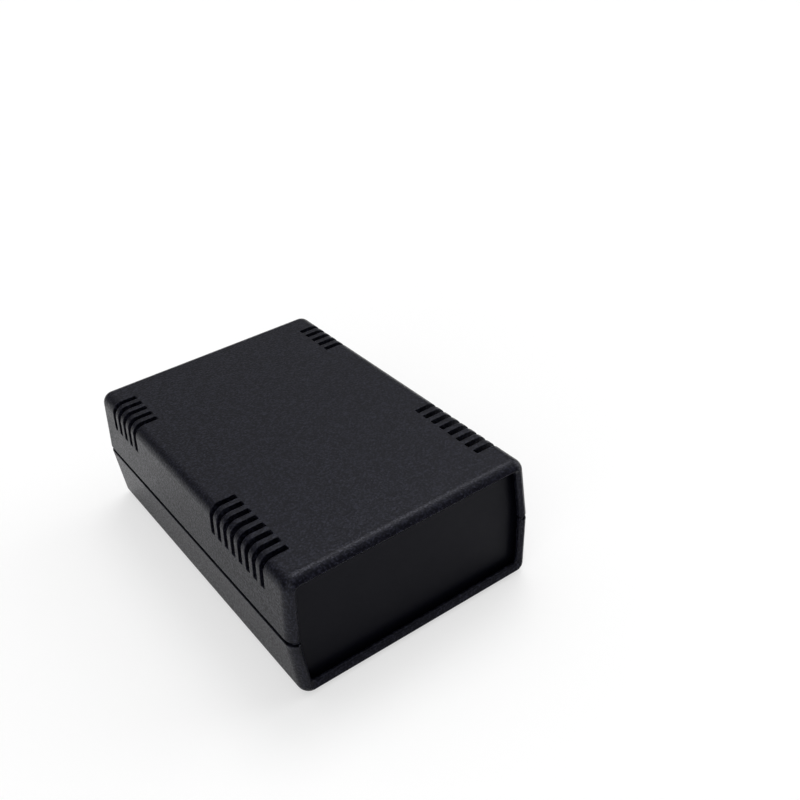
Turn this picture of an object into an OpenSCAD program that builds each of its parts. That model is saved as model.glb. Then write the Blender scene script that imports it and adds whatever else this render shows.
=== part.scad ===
// Vented two-part plastic case for electronics, with end panels held in grooves.
// Origin at the middle of the underside: X across, Y along (front panel at -Y), Z up. Millimetres.

/* [Case] */
// Overall width, measured at the parting line
case_w = 90; // [76:1:140]
// Overall length over both ends
case_l = 133; // [110:1:220]
// Overall height
case_h = 45.2; // [38:0.1:70]
// Thickness of the side walls
wall = 2.5; // [2.1:0.1:3]
// Thickness of the top and of the bottom
plate_t = 2.2; // [1.8:0.1:3]
// Radius of every outer edge
edge_r = 4.1; // [3.2:0.1:6]

/* [Parting line] */
// Height of the parting line above the underside
parting_z = 22.5; // [18:0.1:26]
// Height of the groove that runs round the case at the parting line
groove_h = 1.6; // [0.6:0.1:2]
// Depth of that groove
groove_d = 1; // [0.3:0.05:1]
// Gap between the shells' rims behind the groove
rim_gap = 0.2; // [0.1:0.05:0.3]
// Height of the upright band along the edge of each shell
band_h = 0.3; // [0.1:0.1:1]
// Thickness of the locating tongue on each side wall of the bottom shell
tongue_t = 0.8; // [0.6:0.1:0.9]
// Height of the tongue above the bottom shell's rim
tongue_h = 2.2; // [1.4:0.1:4]
// Distance from a panel's groove to the end of a tongue
tongue_end = 2; // [1.5:0.5:6]
// Clearance around the tongue in the top shell
tongue_clearance = 0.25; // [0.2:0.05:0.4]

/* [Mould draft] */
// How far each side wall leans in by the upper edge
side_lean_top = 1.3; // [0.2:0.1:2]
// How far each side wall leans in by the lower edge
side_lean_base = 1.45; // [0.2:0.05:2]

/* [Ventilation slots] */
// Slots along each side near the front
front_slots = 8; // [1:1:9]
// Slots along each side near the rear
rear_slots = 5; // [1:1:9]
// Width of a slot
slot_w = 2.2; // [1:0.1:2.6]
// Distance from one slot to the next
slot_pitch = 4.4; // [3.6:0.1:5]
// Distance from the front end of the case to the middle of the first front slot
front_slot_end = 14; // [12:0.25:20]
// Distance from the rear end of the case to the middle of the first rear slot
rear_slot_end = 12.75; // [12:0.25:20]
// How far a slot reaches in across the top
slot_reach = 10.5; // [6:0.5:10.5]
// How far a slot reaches down the side
slot_drop = 9.8; // [6:0.1:14]

/* [End panels] */
// Thickness of a panel
panel_t = 1.5; // [1:0.1:2]
// Corner radius of a panel
panel_corner_r = 2.4; // [2:0.1:4]
// How far the frame round each opening reaches in past the walls and the ceiling
frame_w = 1.3; // [1:0.1:2]
// How far that frame reaches up past the floor
sill_h = 2.1; // [1:0.1:2.4]
// Corner radius at the frame's inner edge
mouth_r = 1.4; // [0.6:0.1:3]
// Depth of the bevel on that frame
bevel_l = 1.1; // [0.6:0.1:1.6]
// Distance from the end of the case to a panel's groove
lip_l = 2.2; // [2:0.1:4]
// Depth of a panel's groove
seat_d = 1; // [0.6:0.1:1.2]
// Gap in the groove in front of a panel
panel_play = 1.7; // [0.2:0.1:2]
// Clearance around a panel and behind it
panel_clearance = 0.25; // [0.15:0.05:0.4]

/* [Screw bosses] */
// Distance from each side of the case to a boss's axis
boss_side = 15; // [14.5:0.5:18]
// Distance from each end of the case to a boss's axis
boss_end = 14.5; // [13:0.5:20]
// Radius of a boss in the bottom shell
base_boss_r = 4.4; // [4.2:0.1:5]
// Radius of a boss in the top shell
lid_boss_r = 3.6; // [3:0.1:4.2]
// Height of the seat under a screw's head
screw_seat_z = 12; // [8:0.5:14]
// Depth of the screw hole in the top shell's boss
lid_hole_depth = 10; // [8:0.5:12]

/* [Screws] */
// Radius of a screw's shank
shank_r = 1.45; // [1.2:0.05:1.6]
// Length of a screw under its head
screw_l = 16; // [14:0.5:18]
// Length of a screw's pointed tip
tip_l = 2; // [1:0.5:3]
// Radius of a screw's head
head_r = 2.8; // [2.4:0.1:2.9]
// Height of a screw's head
head_h = 2; // [1.6:0.1:2.6]
// Width of the cross drive's slots
drive_w = 0.8; // [0.5:0.1:1]
// Depth of the cross drive
drive_depth = 1.2; // [0.8:0.1:1.4]
// Length of the cross drive's slots
drive_l = 3.2; // [2:0.1:4]
// Radial clearance of a shank in the top shell's boss
lid_hole_clearance = 0.05; // [0.02:0.01:0.1]
// Radial clearance of a shank in the bottom shell's boss
base_hole_clearance = 0.25; // [0.15:0.05:0.4]
// Radial clearance of a head in its recess
head_clearance = 0.3; // [0.2:0.05:0.5]

/* [Circuit board posts] */
// Distance from each side of the case to a post's axis
post_side = 20; // [18:0.5:26]
// Distance from each end of the case to a post's axis
post_end = 28.5; // [27:0.5:40]
// Radius of a post
post_r = 3; // [2.4:0.1:4]
// Height of a post above the floor
post_h = 5; // [3:0.5:10]
// Radius of the pilot hole in a post
post_hole_r = 1.1; // [0.8:0.1:1.5]

/* [Hidden] */

// Facets around a rounded outer edge, and steps along a quarter arc of a section
EDGE_FACETS = 48;
ARC_STEPS = 6;
// Facets around bosses, holes and screws
ROUND_FACETS = 48;
// Overshoot of a cut past the face that it opens
CUT = 1;
// Thickness of the two slices that a bevel's cut spans
SLICE = 0.02;

FRONT = -1;
REAR = 1;
SHELL_BLACK = "#303135";
PANEL_BLACK = "#1f2023";
SCREW_STEEL = "#8d9094";

// Levels: both sides of the groove, both rims behind it, the ceiling
lid_edge_z = parting_z + groove_h / 2;
base_edge_z = parting_z - groove_h / 2;
lid_rim_z = parting_z + rim_gap / 2;
base_rim_z = parting_z - rim_gap / 2;
ceiling_z = case_h - plate_t;
inner_r = edge_r - wall;

// How far the rounded ends would run past the rims, where the opening cuts them short
end_overrun = edge_r - sqrt(edge_r * edge_r - inner_r * inner_r);
form_l = case_l + 2 * end_overrun;

boss_x = case_w / 2 - boss_side;
boss_y = case_l / 2 - boss_end;
post_x = case_w / 2 - post_side;
post_y = case_l / 2 - post_end;
seat_w = panel_play + panel_t + panel_clearance;
seat_y = case_l / 2 - lip_l - seat_w / 2;
panel_y = case_l / 2 - lip_l - panel_play - panel_t / 2;
tongue_l = 2 * (seat_y - seat_w / 2 - tongue_end);

// Half-width of the top shell's outer side wall at height z
function lid_x(z) = case_w / 2 - side_lean_top * (z - parting_z) / (case_h - edge_r - parting_z);

// Half-width of the bottom shell's outer side wall at height z
function base_x(z) = case_w / 2 - side_lean_base * (parting_z - z) / (parting_z - edge_r);

// Points along an arc about (x, z), from one angle to another
function arc(x, z, r, from, to) =
    [for (i = [0:ARC_STEPS]) let (a = from + (to - from) * i / ARC_STEPS) [x + r * cos(a), z + r * sin(a)]];

// Section of the room under the top shell, grown on all sides, with corners of radius r
function lid_room_points(grow, r) =
    let (low = base_edge_z - CUT, z = ceiling_z + grow - r, x = lid_x(z) - wall + grow)
    let (low_x = lid_x(low) - wall + grow)
    concat(
        [[-low_x, low], [low_x, low]],
        arc(x - r, z, r, 0, 90),
        arc(r - x, z, r, 90, 180)
    );

// Section of the room in the bottom shell, grown sideways and downwards, with corners of radius r
function base_room_points(grow, drop, r) =
    let (high = lid_edge_z + CUT, z = plate_t - drop + r, x = base_x(z) - wall + grow)
    let (high_x = base_x(high) - wall + grow)
    concat(
        [[high_x, high], [-high_x, high]],
        arc(r - x, z, r, 180, 270),
        arc(x - r, z, r, 270, 360)
    );

// Outline of an end panel: it stands in the groove and clears the walls and the ceiling
function panel_points() =
    let (r = panel_corner_r, gap = wall - seat_d + panel_clearance)
    let (low = plate_t - seat_d + r, high = ceiling_z + seat_d - panel_clearance - r)
    let (low_x = base_x(low) - gap, mid_x = case_w / 2 - gap, high_x = lid_x(high) - gap)
    concat(
        [[mid_x, parting_z]],
        arc(high_x - r, high, r, 0, 90),
        arc(r - high_x, high, r, 90, 180),
        [[-mid_x, parting_z]],
        arc(r - low_x, low, r, 180, 270),
        arc(low_x - r, low, r, 270, 360)
    );

// Carries a section, drawn as X and Z, along Y
module along_y(length)
    rotate([90, 0, 0])
        linear_extrude(height = length, center = true)
            children();

module at_corners(x, y)
    for (side = [-1, 1])
        for (end = [FRONT, REAR])
            translate([side * x, end * y, 0])
                children();

module at_ends(y)
    for (end = [FRONT, REAR])
        translate([0, end * y, 0])
            children();

// Closed outer form of one half, drawn with its edge at z = 0 and its outer face at z = depth
module half_form(lean, depth)
    let (corner_x = case_w / 2 - edge_r, corner_y = form_l / 2 - edge_r)
        hull() {
            at_corners(corner_x, corner_y)
                cylinder(h = band_h, r = edge_r, $fn = EDGE_FACETS);
            at_corners(corner_x - lean, corner_y)
                translate([0, 0, depth - edge_r])
                    sphere(r = edge_r, $fn = EDGE_FACETS);
            translate([lean - corner_x, -corner_y, 0])
                cube([2 * (corner_x - lean), 2 * corner_y, depth]);
        }

// Rim that stands back by the groove's depth
module inner_rim(low, high)
    hull()
        at_corners(case_w / 2 - edge_r, form_l / 2 - edge_r)
            translate([0, 0, low])
                cylinder(h = high - low, r = edge_r - groove_d, $fn = EDGE_FACETS);

module lid_form() {
    translate([0, 0, lid_edge_z])
        half_form(side_lean_top, case_h - lid_edge_z);
    inner_rim(lid_rim_z, lid_edge_z + CUT);
}

module base_form() {
    translate([0, 0, base_edge_z])
        mirror([0, 0, 1])
            half_form(side_lean_base, base_edge_z);
    inner_rim(base_edge_z - CUT, base_rim_z);
}

// Cut that bevels an opening's frame, between a section inside the case and one outside it
module bevel_cut(end, inside, outside)
    hull() {
        translate([0, end * (case_l / 2 - 2 * bevel_l), 0])
            along_y(SLICE)
                polygon(inside);
        translate([0, end * (case_l / 2 + bevel_l), 0])
            along_y(SLICE)
                polygon(outside);
    }

module lid_room() {
    along_y(2 * seat_y)
        polygon(lid_room_points(0, inner_r));
    at_ends(seat_y)
        along_y(seat_w)
            polygon(lid_room_points(seat_d, inner_r));
    along_y(case_l + 2 * CUT)
        polygon(lid_room_points(-frame_w, mouth_r));
    for (end = [FRONT, REAR])
        bevel_cut(end, lid_room_points(-2 * frame_w, mouth_r / 2), lid_room_points(frame_w, 2 * mouth_r));
}

module base_room() {
    along_y(2 * seat_y)
        polygon(base_room_points(0, 0, inner_r));
    at_ends(seat_y)
        along_y(seat_w)
            polygon(base_room_points(seat_d, seat_d, inner_r));
    along_y(case_l + 2 * CUT)
        polygon(base_room_points(-frame_w, -sill_h, mouth_r));
    for (end = [FRONT, REAR])
        bevel_cut(end, base_room_points(-2 * frame_w, -2 * sill_h, mouth_r / 2),
            base_room_points(frame_w, sill_h, 2 * mouth_r));
}

// Both rows of slots over each long top edge
module vents()
    for (side = [-1, 1])
        for (row = [[FRONT, front_slots, front_slot_end], [REAR, rear_slots, rear_slot_end]])
            for (i = [0:row[1] - 1])
                let (y = row[0] * (case_l / 2 - row[2] - i * slot_pitch))
                let (middle_x = case_w / 2 - slot_reach / 2 + CUT / 2)
                    translate([side * middle_x, y, case_h - slot_drop / 2 + CUT / 2])
                        cube([slot_reach + CUT, slot_w, slot_drop + CUT], center = true);

// Strip along both side walls, from the inner face outwards
module side_strips(thickness, low, high, length)
    for (side = [-1, 1])
        let (inner_x = base_x(base_rim_z) - wall)
            translate([side * (inner_x + thickness / 2), 0, (low + high) / 2])
                cube([thickness, length, high - low], center = true);

module tongue_rebate()
    side_strips(
        tongue_t + tongue_clearance,
        base_rim_z - CUT,
        base_rim_z + tongue_h + tongue_clearance,
        tongue_l + 2 * tongue_clearance
    );

module top_shell()
    color(SHELL_BLACK)
        difference() {
            union() {
                difference() {
                    lid_form();
                    lid_room();
                    tongue_rebate();
                    vents();
                }
                at_corners(boss_x, boss_y)
                    translate([0, 0, base_rim_z])
                        cylinder(h = ceiling_z + plate_t / 2 - base_rim_z, r = lid_boss_r,
                            $fn = ROUND_FACETS);
            }
            at_corners(boss_x, boss_y)
                translate([0, 0, base_rim_z - CUT])
                    cylinder(h = lid_hole_depth + CUT, r = shank_r + lid_hole_clearance, $fn = ROUND_FACETS);
        }

module bottom_shell()
    color(SHELL_BLACK)
        difference() {
            union() {
                difference() {
                    base_form();
                    base_room();
                }
                side_strips(tongue_t, base_rim_z - wall, base_rim_z + tongue_h, tongue_l);
                at_corners(boss_x, boss_y)
                    translate([0, 0, plate_t / 2])
                        cylinder(h = base_rim_z - plate_t / 2, r = base_boss_r, $fn = ROUND_FACETS);
                at_corners(post_x, post_y)
                    translate([0, 0, plate_t / 2])
                        cylinder(h = plate_t / 2 + post_h, r = post_r, $fn = ROUND_FACETS);
            }
            at_corners(boss_x, boss_y) {
                translate([0, 0, -CUT])
                    cylinder(h = screw_seat_z + CUT, r = head_r + head_clearance, $fn = ROUND_FACETS);
                translate([0, 0, screw_seat_z - CUT])
                    cylinder(h = base_rim_z - screw_seat_z + 2 * CUT, r = shank_r + base_hole_clearance,
                        $fn = ROUND_FACETS);
            }
            at_corners(post_x, post_y)
                translate([0, 0, plate_t])
                    cylinder(h = post_h + CUT, r = post_hole_r, $fn = ROUND_FACETS);
        }

module end_panel(end)
    color(PANEL_BLACK)
        translate([0, end * panel_y, 0])
            along_y(panel_t)
                polygon(panel_points());

module front_panel() end_panel(FRONT);

module rear_panel() end_panel(REAR);

// Pan-head screw that points up, with the underside of its head at z = 0
module screw()
    difference() {
        union() {
            translate([0, 0, -head_h])
                cylinder(h = head_h, r = head_r, $fn = ROUND_FACETS);
            translate([0, 0, -head_h / 2])
                cylinder(h = head_h / 2 + screw_l - tip_l, r = shank_r, $fn = ROUND_FACETS);
            translate([0, 0, screw_l - tip_l])
                cylinder(h = tip_l, r1 = shank_r, r2 = shank_r / 4, $fn = ROUND_FACETS);
        }
        for (turn = [0, 90])
            rotate([0, 0, turn])
                translate([0, 0, -head_h])
                    cube([drive_l, drive_w, 2 * drive_depth], center = true);
    }

module case_screws()
    color(SCREW_STEEL)
        at_corners(boss_x, boss_y)
            translate([0, 0, screw_seat_z])
                screw();

top_shell();
bottom_shell();
front_panel();
rear_panel();
case_screws();
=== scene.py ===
"""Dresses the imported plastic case: moulded shells, smooth end panels, plated screws, and a plain white stage."""
import math

import bmesh
import bpy
import numpy as np
from mathutils import Matrix, Vector


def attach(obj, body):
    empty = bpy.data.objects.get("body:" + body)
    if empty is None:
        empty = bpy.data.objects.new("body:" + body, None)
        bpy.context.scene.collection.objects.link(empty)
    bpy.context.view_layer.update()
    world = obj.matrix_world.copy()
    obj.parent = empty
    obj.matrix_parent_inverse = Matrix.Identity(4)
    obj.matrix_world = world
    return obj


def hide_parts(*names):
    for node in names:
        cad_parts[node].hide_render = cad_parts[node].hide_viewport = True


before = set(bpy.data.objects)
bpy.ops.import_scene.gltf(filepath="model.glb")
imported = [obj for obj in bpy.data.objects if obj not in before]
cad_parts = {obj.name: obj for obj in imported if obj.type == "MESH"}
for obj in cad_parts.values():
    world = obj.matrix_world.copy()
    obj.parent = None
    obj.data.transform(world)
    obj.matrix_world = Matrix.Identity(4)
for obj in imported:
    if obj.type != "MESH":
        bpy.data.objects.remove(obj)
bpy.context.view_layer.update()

bl_info = {
    "name": "Vented plastic case",
    "version": (1, 0, 0),
    "blender": (4, 5, 0),
    "location": "View3D > Sidebar > Case",
    "description": "Builds the visible surfaces of a vented plastic case around its packed solids",
    "category": "Add Mesh",
}

MM = 0.001

# Corners of a solid closer than this are one corner
WELD = 1e-6
# How far a corner may stand from the plane of a frame's edge and still count as on it
PLANE_REACH = 0.02 * MM
# Corners along a frame's edge closer than this are merged, so that the rounding has no slivers
EDGE_MERGE = 0.15 * MM
# Faces that meet at less than the first angle are one flat, edges sharper than the second are rounded
FLAT_ANGLE = math.radians(0.2)
SHARP_ANGLE = math.radians(25)

# Patterns: the stretch of the noise in which a finish changes, then the roughness at the stretch's two ends
# The first stretch is where the shells' colour runs from painted shade in the pits to painted light on the crests.
PAINTED_SHADE_STRETCH = (0.45, 0.75)
GLOSS_STRETCH = (0.4, 0.6)
CLOUD_STRETCH = (0.3, 0.7)
SHELL_ROUGH = (0.41, 0.28)
PANEL_ROUGH = (0.38, 0.44)
ZINC_ROUGH = (0.28, 0.42)
# Widths of the clouds in the gloss of the panels and of the zinc plate
PANEL_CLOUD = 9 * MM
ZINC_CLOUD = 0.8 * MM
# How strongly the plastics mirror, and the slightly blue sheen of black plastic
SHELL_MIRROR = 0.165
PANEL_MIRROR = 0.092
COOL_SHEEN = (0.86, 0.87, 1.0, 1.0)
SHELL_MATERIAL = "abs_moulded_spark_grain"

# The photograph's view: the lens, where the camera stands in millimetres, and its turn, an axis times an angle
PHOTO_WIDTH = 800
FOCAL_PIXELS = 1018.0558
SENSOR_WIDTH = 36.0
CLIP_START, CLIP_END = 0.01, 20.0
CAMERA_MM = (-126.962, -257.990, 233.673)
CAMERA_TURN = (2.035602, -0.705515, 0.288559)

# The soft light overhead: the way to its middle, and its strength by the cosine of the angle from there
LIGHT_WAY = (0.1, 0.3, 0.95)
LIGHT_TOP = 1.5
LIGHT_FALL = (
    (0.3, 0.1), (0.5, 0.12), (0.65, 0.25), (0.78, 0.5), (0.88, 0.95), (0.95, 1.35), (1.0, LIGHT_TOP),
)
# The lamps in the tent: the way to the middle, the strength, and the cosines where the soft edge starts and ends
LAMPS = (
    ((0.38, 0.32, 0.868), 4.8, (0.957, 0.99)),
    ((-0.7, -0.5, 0.5), 1.7, (0.866, 0.951)),
    ((0.88, -0.1, 0.46), 2.0, (0.866, 0.951)),
)
# The tent's white wall: full up to the first height above the horizon, gone at the second, both as sines
WALL_FADE = (0.03, 0.12)
WHITE = (1, 1, 1, 1)
# The floor's half width, and how much of its own white shows beside its shade, to the eye and in reflections
FLOOR_REACH = 3.0
FLOOR_WHITE_SEEN = 0.57
FLOOR_WHITE_MIRRORED = 0.12


class CaseSizes(bpy.types.PropertyGroup):
    """Sizes of the finish that the solids leave out."""

    edge_soft: bpy.props.FloatProperty(
        name="Edge softness",
        description="Radius that moulding leaves on the shells' sharp edges",
        default=0.18 * MM, min=0.02 * MM, max=0.4 * MM, precision=5, unit="LENGTH",
    )
    frame_soft: bpy.props.FloatProperty(
        name="Frame roundness",
        description="Width of the rounding on the inner edge of the frame round each end's opening",
        default=0.55 * MM, min=0.1 * MM, max=0.8 * MM, precision=5, unit="LENGTH",
    )
    frame_plane: bpy.props.FloatProperty(
        name="Frame edge plane",
        description="Distance from the middle of the case to the plane of that inner edge",
        default=65.4 * MM, min=40 * MM, max=120 * MM, precision=5, unit="LENGTH",
    )
    panel_soft: bpy.props.FloatProperty(
        name="Panel edge softness",
        description="Radius on the edges of the end panels",
        default=0.2 * MM, min=0.02 * MM, max=0.5 * MM, precision=5, unit="LENGTH",
    )
    screw_soft: bpy.props.FloatProperty(
        name="Screw edge softness",
        description="Radius on the edges of the screws",
        default=0.08 * MM, min=0.02 * MM, max=0.2 * MM, precision=5, unit="LENGTH",
    )
    grain: bpy.props.FloatProperty(
        name="Grain size",
        description="Width of one grain of the shells' spark-eroded texture",
        default=0.65 * MM, min=0.1 * MM, max=3 * MM, precision=5, unit="LENGTH",
    )
    grain_depth: bpy.props.FloatProperty(
        name="Grain depth",
        description="Depth of that texture from crest to pit",
        default=0.12 * MM, min=0.01 * MM, max=0.5 * MM, precision=5, unit="LENGTH",
    )


class CaseColours(bpy.types.PropertyGroup):
    """Colours of the case and the floor, as sRGB hex values."""

    # The crest colour is painted light and the pit colour is painted shade: lit and shaded copies of one black
    # plastic.
    shell: bpy.props.StringProperty(
        name="Shell", description="Colour of the grain's crests on the two moulded shells", default="#24252f",
    )
    shell_pit_shade: bpy.props.StringProperty(
        name="Shell pits", description="Colour of the grain's shaded pits", default="#010107",
    )
    panel: bpy.props.StringProperty(
        name="Panel", description="Colour of the end panels", default="#04040a",
    )
    screw: bpy.props.StringProperty(
        name="Screw", description="Colour of the screws' zinc plate", default="#b9bcc0",
    )
    floor: bpy.props.StringProperty(
        name="Floor", description="Colour of the floor", default="#fcfcfc",
    )


def linear(hex_colour):
    """Turns an sRGB hex value into a linear RGBA colour."""
    value = np.array([int(hex_colour[i:i + 2], 16) for i in (1, 3, 5)]) / 255
    value = np.where(value <= 0.04045, value / 12.92, ((value + 0.055) / 1.055) ** 2.4)
    return (*value.tolist(), 1.0)


def add_node(tree, kind, inputs=None, **settings):
    """Adds a node, sets its settings, and links or sets its inputs by name or number."""
    made = tree.nodes.new(kind)
    for key, value in settings.items():
        setattr(made, key, value)
    for key, value in (inputs or {}).items():
        if isinstance(value, bpy.types.NodeSocket):
            tree.links.new(value, made.inputs[key])
        else:
            made.inputs[key].default_value = value
    return made


def mapped(value, stretch, ends):
    """Inputs of a map range node that turns a stretch of a value into the numbers between two ends."""
    return {"Value": value, 1: stretch[0], 2: stretch[1], 3: ends[0], 4: ends[1]}


def new_material(name):
    """An empty node material with its output node."""
    material = bpy.data.materials.new(name)
    material.use_nodes = True
    tree = material.node_tree
    tree.nodes.clear()
    return material, tree, add_node(tree, "ShaderNodeOutputMaterial")


def clouded(tree, size, ends):
    """A roughness that drifts between two values in clouds of the given size."""
    place = add_node(tree, "ShaderNodeTexCoord").outputs["Object"]
    cloud = add_node(tree, "ShaderNodeTexNoise", {"Vector": place, "Scale": 1 / size, "Detail": 3.0})
    rough = add_node(tree, "ShaderNodeMapRange", mapped(cloud.outputs["Fac"], CLOUD_STRETCH, ends))
    return rough.outputs["Result"]


def grained_abs(sizes, colours):
    """Black ABS moulded in a spark-eroded tool: dull, finely pebbled, with a sheen only at a flat angle."""
    material, tree, out = new_material(SHELL_MATERIAL)
    place = add_node(tree, "ShaderNodeTexCoord").outputs["Object"]
    # The real grain is about a quarter of this size: it is drawn coarser, so that it shows at a picture's scale.
    grain = add_node(tree, "ShaderNodeTexNoise", {
        "Vector": place, "Scale": 1 / sizes.grain, "Detail": 1.0, "Roughness": 0.6,
    }).outputs["Fac"]
    # The colour is painted light and shade: lighter on the crests, darker in the pits, following the same noise as
    # the bumps.
    painted_crest_light = add_node(tree, "ShaderNodeMapRange", mapped(grain, PAINTED_SHADE_STRETCH, (0.0, 1.0)))
    painted_grain_shade = add_node(tree, "ShaderNodeMix", {
        "Factor": painted_crest_light.outputs["Result"], 6: linear(colours.shell_pit_shade), 7: linear(colours.shell),
    }, data_type="RGBA")
    # Crests are glossier than pits, which speckles the sheen on walls seen at a flat angle.
    rough = add_node(tree, "ShaderNodeMapRange", mapped(grain, GLOSS_STRETCH, SHELL_ROUGH))
    bump = add_node(tree, "ShaderNodeBump", {"Height": grain, "Strength": 0.85, "Distance": sizes.grain_depth})
    skin = add_node(tree, "ShaderNodeBsdfPrincipled", {
        "Base Color": painted_grain_shade.outputs[2],
        "Roughness": rough.outputs["Result"],
        "Specular IOR Level": SHELL_MIRROR,
        "Specular Tint": COOL_SHEEN,
        "Normal": bump.outputs["Normal"],
    })
    tree.links.new(skin.outputs["BSDF"], out.inputs["Surface"])
    return material


def smooth_abs(colours):
    """Black ABS sheet, pressed smooth: a soft mirror that blurs what stands close to it."""
    material, tree, out = new_material("abs_sheet_smooth")
    skin = add_node(tree, "ShaderNodeBsdfPrincipled", {
        "Base Color": linear(colours.panel),
        "Roughness": clouded(tree, PANEL_CLOUD, PANEL_ROUGH),
        "Specular IOR Level": PANEL_MIRROR,
        "Specular Tint": COOL_SHEEN,
    })
    tree.links.new(skin.outputs["BSDF"], out.inputs["Surface"])
    return material


def zinc_steel(colours):
    """Steel with bright zinc plate: a silvery metal, slightly clouded."""
    material, tree, out = new_material("steel_zinc_plated")
    skin = add_node(tree, "ShaderNodeBsdfPrincipled", {
        "Base Color": linear(colours.screw),
        "Metallic": 1.0,
        "Roughness": clouded(tree, ZINC_CLOUD, ZINC_ROUGH),
    })
    tree.links.new(skin.outputs["BSDF"], out.inputs["Surface"])
    return material


def white_paper(colours):
    """White paper that takes a soft shade but stays pale, to the eye and in reflections."""
    material, tree, out = new_material("floor_white_paper")
    paper = add_node(tree, "ShaderNodeBsdfDiffuse", {"Color": linear(colours.floor)})
    white = add_node(tree, "ShaderNodeEmission", {"Color": WHITE, "Strength": 1.0})
    path = add_node(tree, "ShaderNodeLightPath")
    bent = add_node(tree, "ShaderNodeMath", {
        0: path.outputs["Is Glossy Ray"], 1: path.outputs["Is Transmission Ray"],
    }, operation="MAXIMUM")
    bent = add_node(tree, "ShaderNodeMath", {0: bent.outputs[0], 1: FLOOR_WHITE_MIRRORED}, operation="MULTIPLY")
    share = add_node(tree, "ShaderNodeMath", {
        0: path.outputs["Is Camera Ray"], 1: FLOOR_WHITE_SEEN, 2: bent.outputs[0],
    }, operation="MULTIPLY_ADD")
    lit = add_node(tree, "ShaderNodeMixShader", {
        0: share.outputs[0], 1: paper.outputs["BSDF"], 2: white.outputs["Emission"],
    })
    tree.links.new(lit.outputs["Shader"], out.inputs["Surface"])
    return material


def merged_copy(node, name):
    """A copy of a solid's mesh with its loose triangles joined at their corners."""
    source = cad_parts[node].data
    place = np.empty(len(source.vertices) * 3, np.float32)
    source.vertices.foreach_get("co", place)
    corner = np.empty(len(source.loops), np.int32)
    source.loops.foreach_get("vertex_index", corner)
    rounded = np.round(place.reshape(-1, 3) / WELD).astype(np.int64)
    spots, index = np.unique(rounded, axis=0, return_inverse=True)
    triangles = index.ravel()[corner].reshape(-1, 3)
    whole = (triangles != np.roll(triangles, 1, 1)).all(1)
    mesh = bpy.data.meshes.new(name)
    mesh.from_pydata(spots * WELD, [], triangles[whole])
    mesh.validate()
    piece = bpy.data.objects.new(name, mesh)
    bpy.context.scene.collection.objects.link(piece)
    return piece


def soften(piece, width, edge_plane=None):
    """Joins triangles that lie in one plane, rounds sharp edges, and lets large flats keep their own normals.

    Corners along an edge in the given plane are merged first where they stand close together.
    """
    work = bmesh.new()
    work.from_mesh(piece.data)
    if edge_plane:
        on_edge = [corner for corner in work.verts if abs(abs(corner.co.y) - edge_plane) < PLANE_REACH]
        bmesh.ops.remove_doubles(work, verts=on_edge, dist=EDGE_MERGE)
    bmesh.ops.dissolve_limit(
        work, angle_limit=FLAT_ANGLE, use_dissolve_boundaries=False,
        verts=work.verts, edges=work.edges, delimit=set(),
    )
    for face in work.faces:
        face.smooth = True
    work.to_mesh(piece.data)
    work.free()
    bevel = piece.modifiers.new("edge_softness", "BEVEL")
    bevel.width = width
    bevel.segments = 2
    bevel.limit_method = "ANGLE"
    bevel.angle_limit = SHARP_ANGLE
    bevel.use_clamp_overlap = False
    bevel.miter_outer = "MITER_ARC"
    weigh = piece.modifiers.new("flat_normals", "WEIGHTED_NORMAL")
    weigh.mode = "FACE_AREA"
    weigh.weight = 90


def round_frames(piece, sizes):
    """Rounds the inner edge of the frame at each end, all edges in its plane, ahead of the other edges."""
    place = np.empty(len(piece.data.vertices) * 3, np.float32)
    piece.data.vertices.foreach_get("co", place)
    on_edge = np.abs(np.abs(place[1::3]) - sizes.frame_plane) < PLANE_REACH
    group = piece.vertex_groups.new(name="frame_edge")
    group.add(np.flatnonzero(on_edge).tolist(), 1.0, "REPLACE")
    bevel = piece.modifiers.new("frame_roundness", "BEVEL")
    bevel.width = sizes.frame_soft
    bevel.segments = 4
    bevel.limit_method = "VGROUP"
    bevel.vertex_group = group.name
    bevel.use_clamp_overlap = False
    piece.modifiers.move(len(piece.modifiers) - 1, 0)


def finish_piece(piece, material, body, node):
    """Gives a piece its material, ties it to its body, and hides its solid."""
    piece.data.materials.clear()
    piece.data.materials.append(material)
    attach(piece, body)
    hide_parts(node)


def add_shell(scene, node, body):
    """Adds one moulded shell. Both shells share one material."""
    sizes = scene.case_sizes
    piece = merged_copy(node, node + "_moulding")
    soften(piece, sizes.edge_soft, sizes.frame_plane)
    round_frames(piece, sizes)
    material = bpy.data.materials.get(SHELL_MATERIAL) or grained_abs(sizes, scene.case_colours)
    finish_piece(piece, material, body, node)


def add_floor(scene):
    """Lays a wide sheet of white paper under the case."""
    mesh = bpy.data.meshes.new("floor")
    corners = [(x * FLOOR_REACH, y * FLOOR_REACH, 0) for x, y in ((-1, -1), (1, -1), (1, 1), (-1, 1))]
    mesh.from_pydata(corners, [], [(0, 1, 2, 3)])
    mesh.materials.append(white_paper(scene.case_colours))
    floor = bpy.data.objects.new("floor", mesh)
    scene.collection.objects.link(floor)


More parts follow.
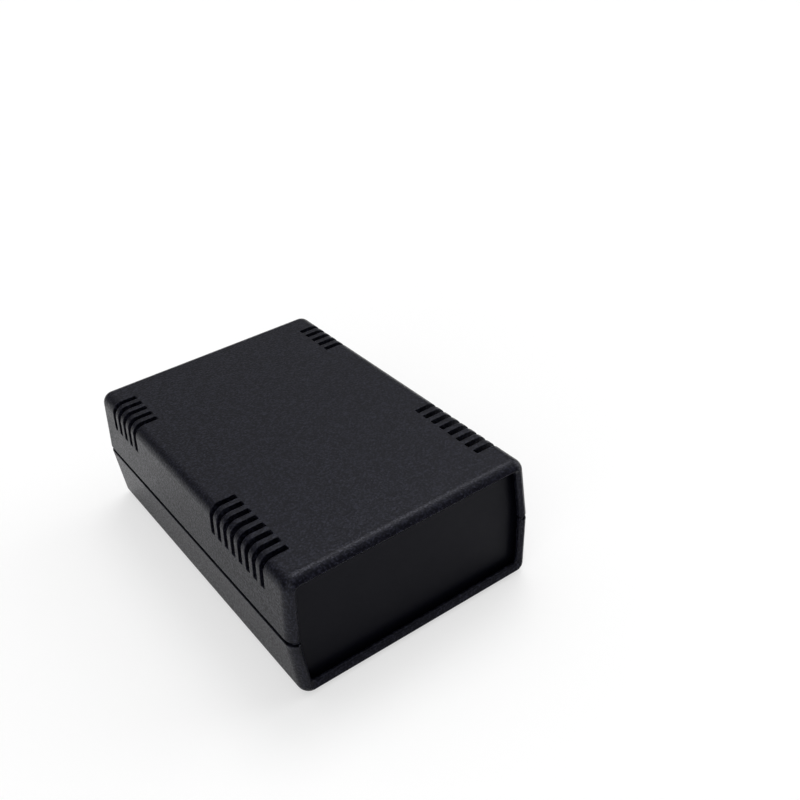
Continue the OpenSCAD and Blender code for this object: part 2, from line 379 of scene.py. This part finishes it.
def add_tent(scene):
    """Lights the case with a white tent: a soft light overhead, a bright wall low down, and lamps."""
    scene.world = bpy.data.worlds.new("studio_tent")
    scene.world.use_nodes = True
    sky = scene.world.node_tree
    sky.nodes.clear()
    ray = add_node(sky, "ShaderNodeTexCoord").outputs["Generated"]

    def nearness(way):
        """The cosine of the angle between the ray and a way."""
        return add_node(sky, "ShaderNodeVectorMath", {
            0: ray, 1: Vector(way).normalized(),
        }, operation="DOT_PRODUCT").outputs["Value"]

    def faded(value, stretch, ends):
        """A strength that runs softly from one end to the other."""
        inputs = mapped(value, stretch, ends)
        return add_node(sky, "ShaderNodeMapRange", inputs, interpolation_type="SMOOTHSTEP").outputs["Result"]

    height = add_node(sky, "ShaderNodeSeparateXYZ", {"Vector": ray}).outputs["Z"]
    ramp = add_node(sky, "ShaderNodeValToRGB", {"Fac": nearness(LIGHT_WAY)})
    stops = ramp.color_ramp.elements
    while len(stops) < len(LIGHT_FALL):
        stops.new(1.0)
    for stop, (cosine, light) in zip(stops, LIGHT_FALL):
        stop.position = cosine
        stop.color = (light / LIGHT_TOP, light / LIGHT_TOP, light / LIGHT_TOP, 1)
    total = add_node(sky, "ShaderNodeMath", {
        0: ramp.outputs["Color"], 1: LIGHT_TOP, 2: faded(height, WALL_FADE, (1.0, 0.0)),
    }, operation="MULTIPLY_ADD").outputs[0]
    for way, strength, edge in LAMPS:
        lamp = faded(nearness(way), edge, (0.0, strength))
        total = add_node(sky, "ShaderNodeMath", {0: lamp, 1: total}).outputs[0]
    # The background looks white at every height.
    seen = add_node(sky, "ShaderNodeLightPath").outputs["Is Camera Ray"]
    total = add_node(sky, "ShaderNodeMath", {0: total, 1: seen}, operation="MAXIMUM").outputs[0]
    tent = add_node(sky, "ShaderNodeBackground", {"Color": WHITE, "Strength": total})
    end = add_node(sky, "ShaderNodeOutputWorld")
    sky.links.new(tent.outputs["Background"], end.inputs["Surface"])


def add_camera(scene):
    """Sets the camera where the photograph's stood."""
    lens = bpy.data.cameras.new("camera")
    lens.sensor_width = SENSOR_WIDTH
    lens.lens = FOCAL_PIXELS * SENSOR_WIDTH / PHOTO_WIDTH
    lens.clip_start = CLIP_START
    lens.clip_end = CLIP_END
    camera = bpy.data.objects.new("camera", lens)
    turn = Vector(CAMERA_TURN)
    # The turn's rows point right, down and ahead. A camera's own axes point right, up and back.
    rows = Matrix.Rotation(turn.length, 3, turn)
    axes = Matrix((rows[0], -Vector(rows[1]), -Vector(rows[2]))).transposed()
    camera.matrix_world = Matrix.Translation(Vector(CAMERA_MM) * MM) @ axes.to_4x4()
    scene.collection.objects.link(camera)
    scene.camera = camera


class CASE_OT_top_shell(bpy.types.Operator):
    """Adds the slotted top shell."""

    bl_idname = "case.top_shell"
    bl_label = "Top shell"

    def execute(self, context):
        add_shell(context.scene, "top_shell", "lid")
        return {"FINISHED"}


class CASE_OT_bottom_shell(bpy.types.Operator):
    """Adds the bottom shell."""

    bl_idname = "case.bottom_shell"
    bl_label = "Bottom shell"

    def execute(self, context):
        add_shell(context.scene, "bottom_shell", "base")
        return {"FINISHED"}


class CASE_OT_end_panels(bpy.types.Operator):
    """Adds the two end panels."""

    bl_idname = "case.end_panels"
    bl_label = "End panels"

    def execute(self, context):
        material = smooth_abs(context.scene.case_colours)
        for node in ("front_panel", "rear_panel"):
            piece = merged_copy(node, node + "_sheet")
            soften(piece, context.scene.case_sizes.panel_soft)
            finish_piece(piece, material, "base", node)
        return {"FINISHED"}


class CASE_OT_screws(bpy.types.Operator):
    """Adds the case screws."""

    bl_idname = "case.screws"
    bl_label = "Case screws"

    def execute(self, context):
        piece = merged_copy("case_screws", "case_screws_plated")
        soften(piece, context.scene.case_sizes.screw_soft)
        finish_piece(piece, zinc_steel(context.scene.case_colours), "base", "case_screws")
        return {"FINISHED"}


class CASE_OT_stage(bpy.types.Operator):
    """Adds the floor, the light and the camera."""

    bl_idname = "case.stage"
    bl_label = "Stage"

    def execute(self, context):
        context.scene.view_settings.view_transform = "Standard"
        add_floor(context.scene)
        add_tent(context.scene)
        add_camera(context.scene)
        return {"FINISHED"}


class CASE_PT_panel(bpy.types.Panel):
    """Lists the case's operators and settings."""

    bl_idname = "CASE_PT_panel"
    bl_label = "Vented plastic case"
    bl_space_type = "VIEW_3D"
    bl_region_type = "UI"
    bl_category = "Case"

    def draw(self, context):
        for group in (context.scene.case_sizes, context.scene.case_colours):
            for name in group.__annotations__:
                self.layout.prop(group, name)
        for operator in OPERATORS:
            self.layout.operator(operator.bl_idname)


OPERATORS = (CASE_OT_top_shell, CASE_OT_bottom_shell, CASE_OT_end_panels, CASE_OT_screws, CASE_OT_stage)
CLASSES = (CaseSizes, CaseColours, *OPERATORS, CASE_PT_panel)


def register():
    for made in CLASSES:
        bpy.utils.register_class(made)
    bpy.types.Scene.case_sizes = bpy.props.PointerProperty(type=CaseSizes)
    bpy.types.Scene.case_colours = bpy.props.PointerProperty(type=CaseColours)


def unregister():
    del bpy.types.Scene.case_colours
    del bpy.types.Scene.case_sizes
    for made in reversed(CLASSES):
        bpy.utils.unregister_class(made)


def main():
    """Registers the classes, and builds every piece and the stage."""
    register()
    bpy.ops.case.top_shell()
    bpy.ops.case.bottom_shell()
    bpy.ops.case.end_panels()
    bpy.ops.case.screws()
    bpy.ops.case.stage()


if __name__ == "__main__":
    main()
